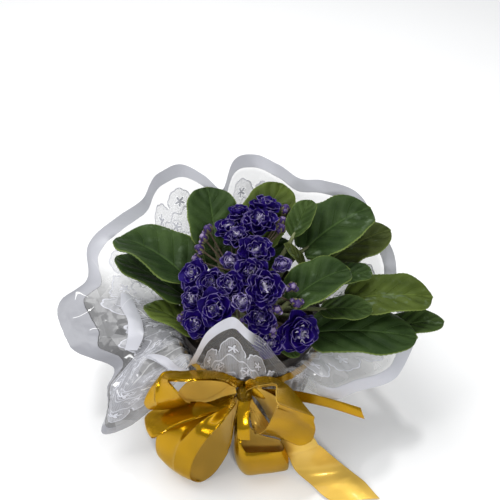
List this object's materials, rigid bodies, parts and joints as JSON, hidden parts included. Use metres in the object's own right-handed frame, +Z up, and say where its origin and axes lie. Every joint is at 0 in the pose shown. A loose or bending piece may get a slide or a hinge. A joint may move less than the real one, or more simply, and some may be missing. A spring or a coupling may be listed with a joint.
{
  "type": "potted african violet",
  "caption": "Double-flowered african violet in a thin round pot, inside a clear lace-printed gift wrap that flares into a scalloped collar and is tied in front with a ribbon bow.",
  "frame": {"origin": "middle of the wrap's flat underside, on the surface that the pot stands on", "axes": "+Z up the pot's axis, -Y towards the bow, +X to the right of someone who faces the bow"},
  "size_m": [0.3079, 0.252, 0.1608],
  "materials": {
    "pot": "matt",
    "soil": "crumbly and matt",
    "crown": "matt, woody",
    "leaf": "velvety",
    "stalk": "hairy and matt",
    "petal": "velvety",
    "pale_petal": "velvety",
    "film": "clear and glossy with white print",
    "ribbon": "satin"
  },
  "bodies": {
    "root": {"nursery_pot": "pot", "potting_soil": "soil", "crown": "crown", "leaf_left": "leaf", "leaf_left_under": "leaf", "leaf_front_left": "leaf", "leaf_back_left": "leaf", "leaf_back": "leaf", "leaf_back_right": "leaf", "leaf_back_right_small": "leaf", "leaf_right_back": "leaf", "leaf_centre_right": "leaf", "leaf_centre_edge": "leaf", "leaf_right_small_back": "leaf", "leaf_right": "leaf", "leaf_right_small_front": "leaf", "leaf_front_right_far": "leaf", "leaf_front_right": "leaf", "leaf_inner_back": "leaf", "leaf_inner_left": "leaf", "leaf_front_small": "leaf", "flower_stalk_back": "stalk", "flower_stalk_back_left": "stalk", "flower_stalk_centre": "stalk", "flower_stalk_left": "stalk", "flower_stalk_front": "stalk", "flower_stalk_front_right": "stalk", "flower_back": "petal", "flower_back_left": "petal", "flower_left_back": "petal", "flower_back_centre": "petal", "flower_edge_on": "petal", "flower_centre_back": "petal", "flower_centre": "petal", "flower_left_high": "petal", "flower_left_inner": "petal", "flower_spiral": "petal", "flower_centre_front": "petal", "flower_left_mid": "petal", "flower_front_left": "petal", "flower_front_centre": "petal", "flower_left_low": "petal", "flower_front_low": "petal", "flower_front_right": "petal", "flower_pale_left": "pale_petal", "flower_right": "pale_petal", "flower_half_open": "pale_petal", "lace_wrap": "film", "tie_band": "ribbon", "bow_knot": "ribbon", "bow_loop_upper_left": "ribbon", "bow_loop_lower_left": "ribbon", "bow_loop_lower_centre": "ribbon", "bow_loop_right": "ribbon", "bow_tail_long": "ribbon", "bow_tail_left": "ribbon", "tie_tail_centre": "ribbon", "tie_tail_right": "ribbon"}
  },
  "joints": []
}
